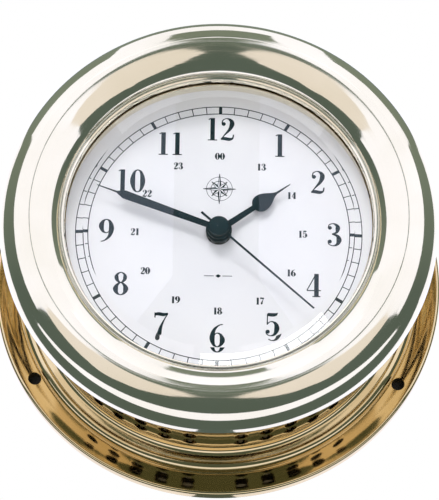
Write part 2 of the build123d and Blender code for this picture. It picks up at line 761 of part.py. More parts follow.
with BuildPart() as setting_knob:
    add(toothed(MOTION_MODULE, KNOB_TEETH, 180 + TO_KNOB, 0.5, 49.0, 50.2, at=KNOB_AT))
    add(tube(0.8, 0, 36.0, 50.6, at=KNOB_AT))
    add(tube(0.5, 0, 50.6, 54.2, at=KNOB_AT))
    # Ribbed finger knob behind the cover.
    with BuildSketch(facing(34.4, at=KNOB_AT)):
        Circle(4.4)
        with PolarLocations(4.6, 20):
            Circle(0.35, mode=Mode.SUBTRACT)
    extrude(amount=3.2)
setting_knob.part.label = "setting_knob"

parts = (
    wall_flange,
    case_drum,
    dial_seat,
    dust_cover,
    bezel,
    crystal,
    crystal_gasket,
    crystal_retaining_ring,
    bezel_seal,
    dial_plate,
    reflector_ring,
    dial_screws,
    hour_hand,
    minute_hand,
    second_hand,
    hub_cap,
    movement_rear_cover,
    movement_front_plate,
    movement_screws,
    threaded_bush,
    rubber_washer,
    nut_washer,
    mounting_nut,
    wheel_pins,
    battery,
    battery_contact_positive,
    battery_contact_negative,
    circuit_board,
    driver_chip,
    quartz_can,
    stator,
    coil_core,
    coil_bobbin,
    coil_winding,
    rotor_magnet,
    rotor_pinion,
    intermediate_wheel,
    seconds_wheel,
    seconds_arbor,
    third_wheel,
    centre_wheel,
    minute_tube,
    clutch_spring,
    minute_wheel,
    hour_wheel,
    setting_knob,
)
os.makedirs("parts", exist_ok=True)
for built in parts:
    export_step(built.part, "parts/" + built.part.label + ".step")
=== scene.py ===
import json
import math

import bmesh
import bpy
from mathutils import Matrix, Vector


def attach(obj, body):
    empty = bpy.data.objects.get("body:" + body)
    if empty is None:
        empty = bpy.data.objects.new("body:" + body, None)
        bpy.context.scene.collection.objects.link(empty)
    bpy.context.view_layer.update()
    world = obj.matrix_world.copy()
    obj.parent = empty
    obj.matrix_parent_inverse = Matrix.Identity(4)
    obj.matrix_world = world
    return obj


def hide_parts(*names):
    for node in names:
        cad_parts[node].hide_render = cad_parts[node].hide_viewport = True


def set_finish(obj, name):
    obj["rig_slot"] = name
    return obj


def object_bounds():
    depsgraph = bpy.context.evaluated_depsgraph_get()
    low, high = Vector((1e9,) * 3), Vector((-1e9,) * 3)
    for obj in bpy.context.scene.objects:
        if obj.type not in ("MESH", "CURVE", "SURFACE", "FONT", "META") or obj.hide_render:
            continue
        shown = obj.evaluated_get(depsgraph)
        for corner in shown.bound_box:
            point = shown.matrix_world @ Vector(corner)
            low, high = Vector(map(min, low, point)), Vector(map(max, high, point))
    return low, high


# Looks of the ship's deck clock. The dial faces -Y, 12 o'clock is +Z, and heights are measured
# forward from the wall plane y = 0. Outlines are written in millimetres and built in metres.

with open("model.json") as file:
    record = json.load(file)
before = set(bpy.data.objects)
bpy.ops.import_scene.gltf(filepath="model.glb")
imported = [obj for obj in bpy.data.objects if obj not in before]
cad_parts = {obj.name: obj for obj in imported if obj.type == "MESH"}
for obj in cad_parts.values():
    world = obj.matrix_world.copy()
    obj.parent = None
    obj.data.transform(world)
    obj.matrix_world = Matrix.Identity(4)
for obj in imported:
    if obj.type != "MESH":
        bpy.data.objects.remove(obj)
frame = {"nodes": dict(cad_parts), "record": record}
nodes = frame["nodes"]
cad_low, cad_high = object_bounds()

MM = 0.001
SHARP_ANGLE = 32

# The case. Angles are degrees, clockwise from 12 o'clock for the fixing holes.
DRUM_R = 74.4
FLANGE_R = 92.0
FIXING_ANGLES = (0, 120, 240)
FIXING_RING_R = 86
FIXING_HOLE_R = 2.7
SOUND_COLUMNS = 5
SOUND_STEP = 8
SOUND_HEIGHTS = (17.2, 24.0)
SOUND_HOLE_R = 2.7
THREAD_TURNS = 3
THREAD_PITCH = 2

# The dial's print.
DIAL_FRONT = 57.8
PRINT_LIFT = 0.04
TRACK_OUTER = 55.5
TRACK_INNER = 52.4
TRACK_LINE = 0.38
HOUR_BAR = 1.3
MINUTE_BAR = 0.36
NUMERAL_R = 45.6
NUMERAL_TALL = 9.9
SMALL_NUMERAL_R = 33.6
SMALL_NUMERAL_TALL = 2.9

# The studio, in metres.
FLOOR_DROP = 0.65
CEILING = 1.25
CARD_WHITE = (0.78, 0.81, 1.0)
CARD_STRENGTH = 1.4
CARD_BEIGE = (1.0, 0.95, 0.97)
BEIGE_STRENGTH = 0.86
CARD_REACH = 1.7


# ---------------------------------------------------------------- mesh helpers


def smooth_faces(mesh, sharp_angle):
    """Smooth shading that keeps every edge sharper than this many degrees."""
    mesh.shade_smooth()
    mesh.set_sharp_from_angle(angle=math.radians(sharp_angle))


def finish_mesh(name, bm, body, smooth_angle=None):
    """Turns a bmesh into an object that rides on a CAD body."""
    mesh = bpy.data.meshes.new(name)
    bm.to_mesh(mesh)
    bm.free()
    piece = bpy.data.objects.new(name, mesh)
    bpy.context.scene.collection.objects.link(piece)
    if smooth_angle is not None:
        smooth_faces(mesh, smooth_angle)
    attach(piece, body)
    return piece


def rounded(corners):
    """Rounds each (radius, height, fillet) corner of a closed outline into a run of points."""
    points = []
    for i, (x, y, fillet) in enumerate(corners):
        at = Vector((x, y))
        if fillet <= 0:
            points.append(at)
            continue
        before = Vector(corners[i - 1][:2]) - at
        after = Vector(corners[(i + 1) % len(corners)][:2]) - at
        turn = before.angle(after)
        # A fillet too big for its sides shrinks until it fits.
        reach = fillet / math.tan(turn / 2)
        reach = min(reach, 0.98 * before.length, 0.98 * after.length)
        radius = reach * math.tan(turn / 2)
        start = at + before.normalized() * reach
        end = at + after.normalized() * reach
        middle = (before.normalized() + after.normalized()).normalized()
        centre = at + middle * (radius / math.sin(turn / 2))
        sweep = (start - centre).angle_signed(end - centre)
        steps = max(3, int(abs(sweep) * (6 + 1.6 * radius)))
        first = start - centre
        for k in range(steps + 1):
            angle = -sweep * k / steps
            c, s = math.cos(angle), math.sin(angle)
            points.append(centre + Vector((first.x * c - first.y * s, first.x * s + first.y * c)))
    return points


def arc(start, radius, first, last, steps=14):
    """Points of an arc from a start point, falling inwards from a first slope to a last one."""
    points = []
    first, last = math.radians(first), math.radians(last)
    for k in range(steps + 1):
        slope = first + (last - first) * k / steps
        inwards = radius * (math.sin(slope) - math.sin(first))
        down = radius * (math.cos(first) - math.cos(slope))
        points.append((start[0] - inwards, start[1] - down, 0))
    return points


def on_dial(radius, clockwise):
    """(x, z) of a point this far from the clock's axis, clockwise from 12 o'clock."""
    angle = math.radians(clockwise)
    return radius * math.sin(angle), radius * math.cos(angle)


def lathe(outline, segments=360):
    """Spins an outline of (radius, height) points about the clock's axis into a closed bmesh."""
    bm = bmesh.new()
    rings = []
    for point in outline:
        radius, height = point[0] * MM, -point[1] * MM
        if radius < 1e-7:
            rings.append([bm.verts.new((0, height, 0))])
            continue
        ring = []
        for k in range(segments):
            angle = 2 * math.pi * k / segments
            ring.append(bm.verts.new((radius * math.sin(angle), height, radius * math.cos(angle))))
        rings.append(ring)
    for a, b in zip(rings, rings[1:] + rings[:1]):
        if len(a) == 1 and len(b) == 1:
            continue
        for k in range(segments):
            n = (k + 1) % segments
            if len(a) == 1:
                bm.faces.new((a[0], b[n], b[k]))
            elif len(b) == 1:
                bm.faces.new((a[k], a[n], b[0]))
            else:
                bm.faces.new((a[k], a[n], b[n], b[k]))
    bmesh.ops.recalc_face_normals(bm, faces=bm.faces)
    return bm


def round_cutter(start, direction, radius, length, segments=48):
    """A rod that a round hole is cut with, in millimetres."""
    bm = bmesh.new()
    bmesh.ops.create_cone(
        bm,
        cap_ends=True,
        segments=segments,
        radius1=radius * MM,
        radius2=radius * MM,
        depth=length * MM,
    )
    mesh = bpy.data.meshes.new("cutter")
    bm.to_mesh(mesh)
    bm.free()
    cutter = bpy.data.objects.new("cutter", mesh)
    bpy.context.scene.collection.objects.link(cutter)
    cutter.rotation_mode = "QUATERNION"
    cutter.rotation_quaternion = direction.to_track_quat("Z", "Y")
    cutter.location = (start + direction * length / 2) * MM
    return cutter


def subtract(piece, cutters):
    """Applies the cutters to the piece's mesh and removes them."""
    joined = bmesh.new()
    bpy.context.view_layer.update()
    for cutter in cutters:
        part = cutter.data.copy()
        part.transform(cutter.matrix_world)
        joined.from_mesh(part)
        bpy.data.meshes.remove(part)
        bpy.data.objects.remove(cutter)
    mesh = bpy.data.meshes.new("cutters")
    joined.to_mesh(mesh)
    joined.free()
    tool = bpy.data.objects.new("cutters", mesh)
    bpy.context.scene.collection.objects.link(tool)
    modifier = piece.modifiers.new("holes", "BOOLEAN")
    modifier.operation = "DIFFERENCE"
    modifier.solver = "EXACT"
    modifier.object = tool
    bpy.context.view_layer.update()
    graph = bpy.context.evaluated_depsgraph_get()
    result = bpy.data.meshes.new_from_object(piece.evaluated_get(graph))
    piece.modifiers.clear()
    piece.data = result
    bpy.data.objects.remove(tool)


# ---------------------------------------------------------------- brass pieces


def flange_ring():
    """Dished wall flange with its bead, step and cove, and three fixing holes."""
    outline = rounded(
        [
            (DRUM_R + 0.03, 0.0, 0.1),
            (FLANGE_R, 0.0, 0.6),
            (FLANGE_R, 5.6, 1.2),
            (87.5, 4.75, 30.0),
            (83.2, 4.3, 0.3),
            (83.0, 3.9, 0.1),
            (82.4, 3.9, 0.1),
            (82.4, 8.2, 2.9),
            (79.0, 8.2, 0.1),
            (79.0, 8.85, 0.25),
            (75.2, 9.5, 2.6),
            (DRUM_R + 0.3, 12.6, 0.1),
            (DRUM_R + 0.03, 12.6, 0.05),
        ]
    )
    ring = finish_mesh("flange_ring", lathe(outline), "case")
    cutters = []
    for clockwise in FIXING_ANGLES:
        x, z = on_dial(FIXING_RING_R, clockwise)
        cutters.append(round_cutter(Vector((x, 1.0, z)), Vector((0, -1, 0)), FIXING_HOLE_R, 10.0))
    subtract(ring, cutters)
    smooth_faces(ring.data, SHARP_ANGLE)
    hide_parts("wall_flange")
    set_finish(ring, "case_brass")
    return ring


def drum_shell():
    """The drum with its sound holes, its shoulder and its threaded neck."""
    thread = []
    for turn in range(THREAD_TURNS):
        root = 60.2 + THREAD_PITCH * turn
        thread += [(72.0, root - 0.5, 0.05), (71.5, root, 0.05), (72.0, root + 0.5, 0.05)]
    outline = rounded(
        [
            (71.6, 0.0, 0.3),
            (DRUM_R, 0.0, 0.2),
            (DRUM_R, 58.0, 0.5),
            (72.0, 58.0, 0.1),
            *thread,
            (72.0, 65.8, 0.5),
            (68.4, 65.8, 0.2),
            (68.4, 53.4, 0.05),
            (67.4, 53.4, 0.05),
            (67.4, 52.2, 0.2),
            (71.6, 48.4, 1.0),
        ]
    )
    shell = finish_mesh("drum_shell", lathe(outline), "case")
    # The columns of sound holes stand on both sides of 6 o'clock.
    cutters = []
    for column in range(1, SOUND_COLUMNS + 1):
        for side in (-1, 1):
            angle = math.radians(-90 + side * SOUND_STEP * column)
            outward = Vector((math.cos(angle), 0, math.sin(angle)))
            for height in SOUND_HEIGHTS:
                start = outward * 70 - Vector((0, height, 0))
                cutters.append(round_cutter(start, outward, SOUND_HOLE_R, 8.0))
    subtract(shell, cutters)
    smooth_faces(shell.data, SHARP_ANGLE)
    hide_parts("case_drum")
    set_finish(shell, "case_brass")
    return shell


def bezel_ring():
    """The fat front roll with its stepped inner lips and rear bead."""
    thread = []
    for turn in reversed(range(THREAD_TURNS)):
        root = 61.2 + THREAD_PITCH * turn
        thread += [(72.1, root + 0.5, 0.1), (72.6, root, 0.1), (72.1, root - 0.5, 0.1)]
    # The front rolls over gently, then turns down more sharply towards the crystal.
    roll = arc((75.6, 80.0), 11.6, 0, 6)
    roll += arc(roll[-1], 22.3, 6, 25)[1:]
    roll += arc(roll[-1], 10.5, 25, 50)[1:]
    roll += arc(roll[-1], 1.2, 50, 75)[1:]
    outline = rounded(
        [
            (81.0, 56.6, 0.3),
            (83.9, 56.6, 0.7),
            (83.8, 58.1, 0.3),
            (83.2, 58.5, 0.15),
            (84.2, 59.0, 0.3),
            (87.2, 64.5, 7.0),
            (87.2, 80.0, 11.4),
            *roll,
            (63.3, 73.6, 0.2),
            (62.6, 73.6, 0.1),
            (62.6, 72.8, 0.1),
            (61.7, 72.6, 0.3),
            (61.3, 70.6, 0.1),
            (63.4, 70.6, 0.1),
            (63.4, 66.4, 0.2),
            (72.1, 66.4, 0.2),
            *thread,
            (72.1, 59.4, 0.2),
            (74.8, 59.4, 0.2),
            (74.8, 56.6, 0.2),
            (77.0, 56.6, 0.3),
            (77.0, 66.0, 1.0),
            (75.4, 72.2, 1.6),
            (79.6, 73.2, 2.0),
            (82.6, 66.0, 3.0),
        ]
    )
    ring = finish_mesh("bezel_ring", lathe(outline), "bezel", smooth_angle=SHARP_ANGLE)
    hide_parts("bezel")
    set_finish(ring, "bezel_brass")
    return ring


def crystal_glass():
    """The flat crystal with its broad polished bevel."""
    outline = [
        (0, 68.2),
        (62.9, 68.2),
        (63.15, 68.45),
        (63.15, 70.15),
        (61.6, 70.15),
        (54.0, 72.15),
        (0, 72.15),
    ]
    glass = finish_mesh("crystal_glass", lathe(outline), "bezel", smooth_angle=5)
    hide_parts("crystal")
    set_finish(glass, "crystal_glass")
    glass.visible_shadow = False
    return glass


def reflector_collar():
    """The polished collar between the dial and the crystal."""
    outline = rounded(
        [
            (60.9, 57.82, 0.1),
            (67.95, 57.82, 0.1),
            (67.95, 58.8, 0.1),
            (62.0, 58.8, 0.2),
            (62.0, 65.85, 0.2),
            (60.9, 65.85, 0.3),
        ]
    )
    collar = finish_mesh("reflector_collar", lathe(outline), "case", smooth_angle=SHARP_ANGLE)
    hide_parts("reflector_ring")
    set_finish(collar, "reflector_brass")
    return collar


# ---------------------------------------------------------------- dial print

# Strokes of one-unit-tall numerals: (x, y, width) along each centreline. A stroke in CLOSED
# joins its ends, one in STRAIGHT keeps its corners, and the rest are smoothed.
THIN = 0.042
NUMERALS = {
    "0": {
        "width": 0.62,
        "closed": [
            [
                (0.31, 0.985, THIN),
                (0.17, 0.87, 0.10),
                (0.105, 0.5, 0.19),
                (0.17, 0.13, 0.10),
                (0.31, 0.015, THIN),
                (0.45, 0.13, 0.10),
                (0.515, 0.5, 0.19),
                (0.45, 0.87, 0.10),
            ]
        ],
    },
    "1": {
        "width": 0.50,
        "straight": [
            [(0.27, 1.0, 0.165), (0.27, 0.0, 0.165)],
            [(0.10, 0.93, THIN), (0.20, 0.985, THIN)],
            [(0.08, 0.015, THIN), (0.46, 0.015, THIN)],
        ],
    },
    "2": {
        "width": 0.60,
        "smooth": [
            [
                (0.085, 0.74, 0.05),
                (0.12, 0.91, 0.045),
                (0.29, 0.985, THIN),
                (0.45, 0.89, 0.13),
                (0.49, 0.73, 0.18),
                (0.40, 0.50, 0.12),
                (0.18, 0.23, 0.05),
                (0.05, 0.05, 0.04),
            ],
            [
                (0.04, 0.06, 0.07),
                (0.18, 0.085, 0.13),
                (0.38, 0.055, 0.13),
                (0.52, 0.10, 0.07),
                (0.56, 0.27, THIN),
            ],
        ],
        "dots": [(0.15, 0.74, 0.085)],
    },
    "3": {
        "width": 0.60,
        "smooth": [
            [
                (0.07, 0.80, 0.04),
                (0.11, 0.93, 0.04),
                (0.27, 0.985, THIN),
                (0.42, 0.90, 0.12),
                (0.455, 0.77, 0.17),
                (0.40, 0.60, 0.09),
                (0.22, 0.525, THIN),
            ],
            [
                (0.22, 0.525, THIN),
                (0.43, 0.45, 0.11),
                (0.505, 0.27, 0.19),
                (0.43, 0.08, 0.11),
                (0.27, 0.015, THIN),
                (0.10, 0.08, 0.04),
                (0.06, 0.20, 0.04),
            ],
        ],
        "dots": [(0.135, 0.80, 0.08), (0.13, 0.20, 0.085)],
    },
    "4": {
        "width": 0.62,
        "straight": [
            [(0.42, 1.0, 0.165), (0.42, 0.0, 0.165)],
            [(0.40, 0.985, 0.04), (0.04, 0.29, 0.04)],
            [(0.03, 0.275, THIN), (0.60, 0.275, THIN)],
            [(0.26, 0.015, THIN), (0.58, 0.015, THIN)],
        ],
    },
    "5": {
        "width": 0.60,
        "smooth": [
            [(0.125, 0.93, 0.12), (0.30, 0.915, 0.14), (0.44, 0.93, 0.12), (0.53, 1.0, 0.03)],
            [
                (0.11, 0.50, THIN),
                (0.20, 0.60, THIN),
                (0.32, 0.62, 0.05),
                (0.455, 0.52, 0.13),
                (0.495, 0.32, 0.19),
                (0.42, 0.10, 0.11),
                (0.26, 0.015, THIN),
                (0.11, 0.07, 0.04),
                (0.06, 0.18, 0.04),
            ],
        ],
        "straight": [[(0.12, 0.96, THIN), (0.11, 0.49, THIN)]],
        "dots": [(0.13, 0.19, 0.085)],
    },
    "6": {
        "width": 0.62,
        "smooth": [
            [
                (0.53, 0.975, THIN),
                (0.37, 0.93, 0.05),
                (0.18, 0.73, 0.12),
                (0.105, 0.40, 0.19),
                (0.17, 0.11, 0.11),
                (0.31, 0.015, THIN),
                (0.45, 0.10, 0.11),
                (0.515, 0.30, 0.19),
                (0.45, 0.52, 0.10),
                (0.32, 0.60, THIN),
                (0.22, 0.55, THIN),
                (0.16, 0.45, THIN),
            ]
        ],
    },
    "7": {
        "width": 0.60,
        "smooth": [
            [(0.05, 0.90, 0.09), (0.18, 0.935, 0.13), (0.40, 0.905, 0.13), (0.57, 0.955, 0.06)],
            [(0.565, 0.95, THIN), (0.42, 0.68, 0.05), (0.29, 0.36, 0.11), (0.235, 0.09, 0.17)],
        ],
        "straight": [[(0.05, 1.0, THIN), (0.05, 0.77, THIN)]],
        "dots": [(0.235, 0.085, 0.085)],
    },
    "8": {
        "width": 0.62,
        "closed": [
            [
                (0.31, 0.985, THIN),
                (0.17, 0.90, 0.09),
                (0.135, 0.77, 0.15),
                (0.19, 0.62, 0.10),
                (0.31, 0.545, 0.05),
                (0.43, 0.63, 0.10),
                (0.48, 0.77, 0.14),
                (0.44, 0.91, 0.08),
            ],
            [
                (0.31, 0.545, 0.05),
                (0.17, 0.44, 0.11),
                (0.105, 0.27, 0.19),
                (0.17, 0.09, 0.10),
                (0.31, 0.015, THIN),
                (0.45, 0.09, 0.10),
                (0.515, 0.27, 0.19),
                (0.45, 0.44, 0.11),
            ],
        ],
    },
}


def turned_over(numeral):
    """The 9 is the 6 turned half round."""
    strokes = []
    for stroke in numeral["smooth"]:
        strokes.append([(numeral["width"] - x, 1 - y, w) for x, y, w in stroke])
    return {"width": numeral["width"], "smooth": strokes}


NUMERALS["9"] = turned_over(NUMERALS["6"])


def smoothed(stroke, closed, steps=8):
    """Catmull-Rom points along a stroke, its width carried along."""
    count = len(stroke)
    points = []
    spans = count if closed else count - 1
    for i in range(spans):
        picks = []
        for k in (i - 1, i, i + 1, i + 2):
            picks.append(Vector(stroke[k % count] if closed else stroke[min(max(k, 0), count - 1)]))
        for step in range(steps):
            t = step / steps
            point = 0.5 * (
                2 * picks[1]
                + (picks[2] - picks[0]) * t
                + (2 * picks[0] - 5 * picks[1] + 4 * picks[2] - picks[3]) * t * t
                + (3 * picks[1] - picks[0] - 3 * picks[2] + picks[3]) * t**3
            )
            points.append(point)
    if not closed:
        points.append(Vector(stroke[-1]))
    return points


class Print:
    """Flat ink laid a hair above the dial. Points are millimetres in the dial plane."""

    def __init__(self):
        self.bm = bmesh.new()
        self.height = DIAL_FRONT + PRINT_LIFT

    def vert(self, x, z):
        return self.bm.verts.new((x * MM, -self.height * MM, z * MM))

    def ribbon(self, points, closed=False):
        """A band of varying width along (x, z, width) points."""
        pairs = []
        count = len(points)
        for i, point in enumerate(points):
            before = points[i - 1] if closed or i else points[i]
            after = points[(i + 1) % count] if closed or i < count - 1 else points[i]
            along = Vector((after[0] - before[0], after[1] - before[1])).normalized()
            side = Vector((-along.y, along.x)) * point[2] / 2
            pairs.append(
                (
                    self.vert(point[0] + side.x, point[1] + side.y),
                    self.vert(point[0] - side.x, point[1] - side.y),
                )
            )
        ends = pairs[1:] + pairs[:1] if closed else pairs[1:]
        for (a, b), (c, d) in zip(pairs, ends):
            self.bm.faces.new((a, b, d, c))

    def disc(self, x, z, radius, segments=24):
        ring = []
        for k in range(segments):
            angle = 2 * math.pi * k / segments
            ring.append(self.vert(x + radius * math.cos(angle), z + radius * math.sin(angle)))
        self.bm.faces.new(ring)

    def polygon(self, *points):
        self.bm.faces.new([self.vert(x, z) for x, z in points])

    def circle_line(self, radius, width, segments=360):
        points = []
        for k in range(segments):
            angle = 2 * math.pi * k / segments
            points.append((radius * math.cos(angle), radius * math.sin(angle), width))
        self.ribbon(points, closed=True)

    def number(self, text, x, z, tall, bold=1.0):
        """Numerals centred on a point and standing upright, their strokes bold times as wide."""
        gap = 0.07
        total = sum(NUMERALS[c]["width"] for c in text) + gap * (len(text) - 1)
        pen = x - total * tall / 2
        foot = z - tall / 2

        def placed(points):
            return [(pen + px * tall, foot + pz * tall, w * tall * bold) for px, pz, w in points]

        for character in text:
            glyph = NUMERALS[character]
            for stroke in glyph.get("closed", []):
                self.ribbon(placed(smoothed(stroke, True)), closed=True)
            for stroke in glyph.get("smooth", []):
                self.ribbon(placed(smoothed(stroke, False)))
            for stroke in glyph.get("straight", []):
                self.ribbon(placed(stroke))
            for dot_x, dot_z, radius in glyph.get("dots", []):
                self.disc(pen + dot_x * tall, foot + dot_z * tall, radius * tall)
            pen += (glyph["width"] + gap) * tall

    def done(self, name):
        """Turns every face of the ink forwards and finishes it as one piece."""
        for face in self.bm.faces:
            face.normal_update()
            if face.normal.y > 0:
                face.normal_flip()
        piece = finish_mesh(name, self.bm, "case")
        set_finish(piece, "hand_paint")
        return piece


def dial_track():
    """The railroad minute track: two circles, fine minute bars and bold hour bars."""
    ink = Print()
    ink.circle_line(TRACK_OUTER, TRACK_LINE)
    ink.circle_line(TRACK_INNER, TRACK_LINE)
    for minute in range(60):
        width = HOUR_BAR if minute % 5 == 0 else MINUTE_BAR
        start = on_dial(TRACK_INNER, 6 * minute)
        end = on_dial(TRACK_OUTER, 6 * minute)
        ink.ribbon([(*start, width), (*end, width)])
    return ink.done("track_print")


# The wide and the low numerals stand a little off their hour's spoke, in millimetres.
NUDGES = {
    1: (1.2, -0.7),
    3: (0.5, 0.0),
    4: (-1.4, 0.8),
    5: (-1.2, 0.5),
    6: (0.0, 1.6),
    7: (0.5, 0.0),
    8: (0.8, 0.3),
    9: (0.6, 0.3),
    10: (3.7, -0.6),
    11: (2.5, -0.6),
}


def dial_numerals():
    """The hours, 1 to 12."""
    ink = Print()
    for hour in range(1, 13):
        x, z = on_dial(NUMERAL_R, 30 * hour)
        nudge_x, nudge_z = NUDGES.get(hour, (0, 0))
        ink.number(str(hour), x + nudge_x, z + nudge_z, NUMERAL_TALL, bold=1.1)
    return ink.done("hour_numerals")


def dial_small_numerals():
    """The afternoon hours, 13 to 23 and then 00."""
    ink = Print()
    for hour in range(1, 13):
        x, z = on_dial(SMALL_NUMERAL_R, 30 * hour)
        text = "00" if hour == 12 else str(hour + 12)
        ink.number(text, x, z, SMALL_NUMERAL_TALL, bold=1.7)
    return ink.done("small_numerals")


def dial_ornaments():
    """A plain compass star above the hands and a small lozenge rule below them."""
    ink = Print()
    middle = 19.2
    waist = 1.7
    line = 0.24
    for point in range(8):
        angle = 45 * point
        reach = 6.6 if point % 2 == 0 else 4.4
        tip_x, tip_z = on_dial(reach, angle)
        for side in (1, -1):
            waist_x, waist_z = on_dial(waist, angle + side * 22.5)
            ink.ribbon([(tip_x, middle + tip_z, line), (waist_x, middle + waist_z, line)])
            if side == 1:
                ink.polygon((0, middle), (waist_x, middle + waist_z), (tip_x, middle + tip_z))
    for radius, width in ((3.4, line), (5.2, 0.20)):
        ring = []
        for k in range(72):
            x, z = on_dial(radius, 5 * k)
            ring.append((x, middle + z, width))
        ink.ribbon(ring, closed=True)
    low = -18.6
    for side in (-1, 1):
        ink.ribbon([(side * 1.7, low, 0.30), (side * 5.6, low, 0.30)])
    ink.polygon((-1.2, low), (0, low + 0.8), (1.2, low), (0, low - 0.8))
    return ink.done("dial_ornaments")


# ---------------------------------------------------------------- materials


class Finish:
    """A new material with a Principled shader and short ways to add nodes to it."""

    def __init__(self, name, **sockets):
        self.material = bpy.data.materials.new(name)
        self.material.use_nodes = True
        self.tree = self.material.node_tree
        self.shader = self.tree.nodes["Principled BSDF"]
        for key, value in sockets.items():
            self.shader.inputs[key.replace("_", " ")].default_value = value
        self.place = self.tree.nodes.new("ShaderNodeTexCoord").outputs["Object"]

    def node(self, kind, links=None, **settings):
        made = self.tree.nodes.new("ShaderNode" + kind)
        for key, value in settings.items():
            if hasattr(made, key):
                setattr(made, key, value)
            else:
                made.inputs[key.replace("_", " ")].default_value = value
        for key, source in (links or {}).items():
            self.tree.links.new(source, made.inputs[key])
        return made

    def noise(self, scale, detail=3.0, stretch=None):
        """Noise over the piece, with features about 1/scale metres wide."""
        source = self.place
        if stretch:
            source = self.node("Mapping", {"Vector": source}, Scale=stretch).outputs["Vector"]
        return self.node("TexNoise", {"Vector": source}, Scale=scale, Detail=detail).outputs["Fac"]

    def ramp(self, source, low, high):
        """Maps the middle of a noise's range to a range of numbers."""
        made = self.node(
            "MapRange", {"Value": source}, From_Min=0.35, From_Max=0.65, To_Min=low, To_Max=high
        )
        return made.outputs["Result"]

    def tint(self, source, dark, light, start=0.35, end=0.65):
        """Blends two colours by a noise."""
        made = self.tree.nodes.new("ShaderNodeValToRGB")
        made.color_ramp.elements[0].position = start
        made.color_ramp.elements[0].color = (*dark, 1)
        made.color_ramp.elements[1].position = end
        made.color_ramp.elements[1].color = (*light, 1)
        self.tree.links.new(source, made.inputs["Fac"])
        return made.outputs["Color"]

    def feed(self, socket, source):
        self.tree.links.new(source, self.shader.inputs[socket])

    def bump(self, source, strength, distance):
        made = self.node("Bump", {"Height": source}, Strength=strength, Distance=distance)
        self.feed("Normal", made.outputs["Normal"])

    def streaks(self, scale, detail=4.0):
        """Fine noise drawn out round the clock's axis, as a polishing wheel leaves it."""
        flat = self.node("VectorMath", operation="MULTIPLY")
        self.tree.links.new(self.place, flat.inputs[0])
        flat.inputs[1].default_value = (1, 0, 1)
        radius = self.node("VectorMath", operation="LENGTH")
        self.tree.links.new(flat.outputs["Vector"], radius.inputs[0])
        height = self.node("SeparateXYZ", {"Vector": self.place}).outputs["Y"]
        drift = self.node("TexNoise", {"Vector": self.place}, Scale=14.0).outputs["Fac"]
        slow = self.node("MapRange", {"Value": drift}, To_Min=0.0, To_Max=0.004).outputs["Result"]
        across = self.node("CombineXYZ", {"X": radius.outputs["Value"], "Y": height, "Z": slow})
        return self.node(
            "TexNoise", {"Vector": across.outputs["Vector"]}, Scale=scale, Detail=detail
        ).outputs["Fac"]

    def rings(self, pitch):
        """Turning marks round the clock's axis, pitch metres apart."""
        # A wave texture repeats every 0.314 / Scale metres.
        wave = self.node(
            "TexWave",
            {"Vector": self.place},
            wave_type="RINGS",
            rings_direction="Y",
            Scale=0.314 / pitch,
            Distortion=0.4,
            Detail=1.0,
        )
        return wave.outputs["Fac"]


def brass(name, dark, light, rough=(0.04, 0.10), marks=0.3):
    """Polished brass: clouded lacquer, faint polishing haze and very fine marks."""
    finish = Finish(name, Metallic=1.0)
    finish.feed("Base Color", finish.tint(finish.noise(28, 4), dark, light))
    streaks = finish.streaks(1800)
    finish.feed("Roughness", finish.ramp(streaks, *rough))
    finish.bump(streaks, marks, 0.00002)
    return finish.material


def turned_brass(name):
    """Brass left straight from the lathe, with its tool marks."""
    finish = Finish(name, Metallic=1.0)
    finish.feed("Base Color", finish.tint(finish.noise(60, 4), (0.55, 0.38, 0.14), (0.75, 0.56, 0.26)))
    finish.feed("Roughness", finish.ramp(finish.noise(120, 4), 0.22, 0.34))
    finish.bump(finish.rings(0.0008), 0.25, 0.00005)
    return finish.material


def clear_glass(name):
    """Clear plate glass with a trace of iron in its colour."""
    finish = Finish(name, Roughness=0.0, IOR=1.5, Transmission_Weight=1.0, Specular_IOR_Level=0.03)
    finish.feed("Base Color", finish.tint(finish.noise(6), (0.985, 0.995, 0.99), (1, 1, 1)))
    return finish.material


def rubber(name, grey=0.02):
    """Moulded black rubber with a dull, dusty grain."""
    finish = Finish(name)
    light = (grey * 1.8,) * 3
    finish.feed("Base Color", finish.tint(finish.noise(300, 5), (grey,) * 3, light))
    finish.feed("Roughness", finish.ramp(finish.noise(500), 0.55, 0.75))
    finish.bump(finish.noise(3000, 4), 0.3, 0.0001)
    return finish.material


def enamel(name):
    """The dial's satin white, with a barely seen mottle and fine orange peel."""
    finish = Finish(name, Specular_IOR_Level=0.35)
    finish.feed("Base Color", finish.tint(finish.noise(35, 5), (0.765, 0.755, 0.79), (0.80, 0.79, 0.82)))
    finish.feed("Roughness", finish.ramp(finish.noise(150), 0.38, 0.5))
    finish.bump(finish.noise(2200, 3), 0.06, 0.00004)
    return finish.material


def paint(name, dark, light, rough=(0.25, 0.38), grain=0.08, gloss=0.5):
    """Sprayed paint with a fine grain, shinier with more gloss."""
    finish = Finish(name, Specular_IOR_Level=gloss)
    finish.feed("Base Color", finish.tint(finish.noise(160, 4), dark, light))
    finish.feed("Roughness", finish.ramp(finish.noise(400), *rough))
    finish.bump(finish.noise(2500, 3), grain, 0.00003)
    return finish.material


def steel(name, dark, light, rough=(0.22, 0.36)):
    """Plated or bare steel with a drawn grain."""
    finish = Finish(name, Metallic=1.0)
    finish.feed("Base Color", finish.tint(finish.noise(90, 4), dark, light))
    finish.feed("Roughness", finish.ramp(finish.noise(700, 4, (1, 8, 1)), *rough))
    finish.bump(finish.noise(1800, 3, (1, 10, 1)), 0.12, 0.00003)
    return finish.material


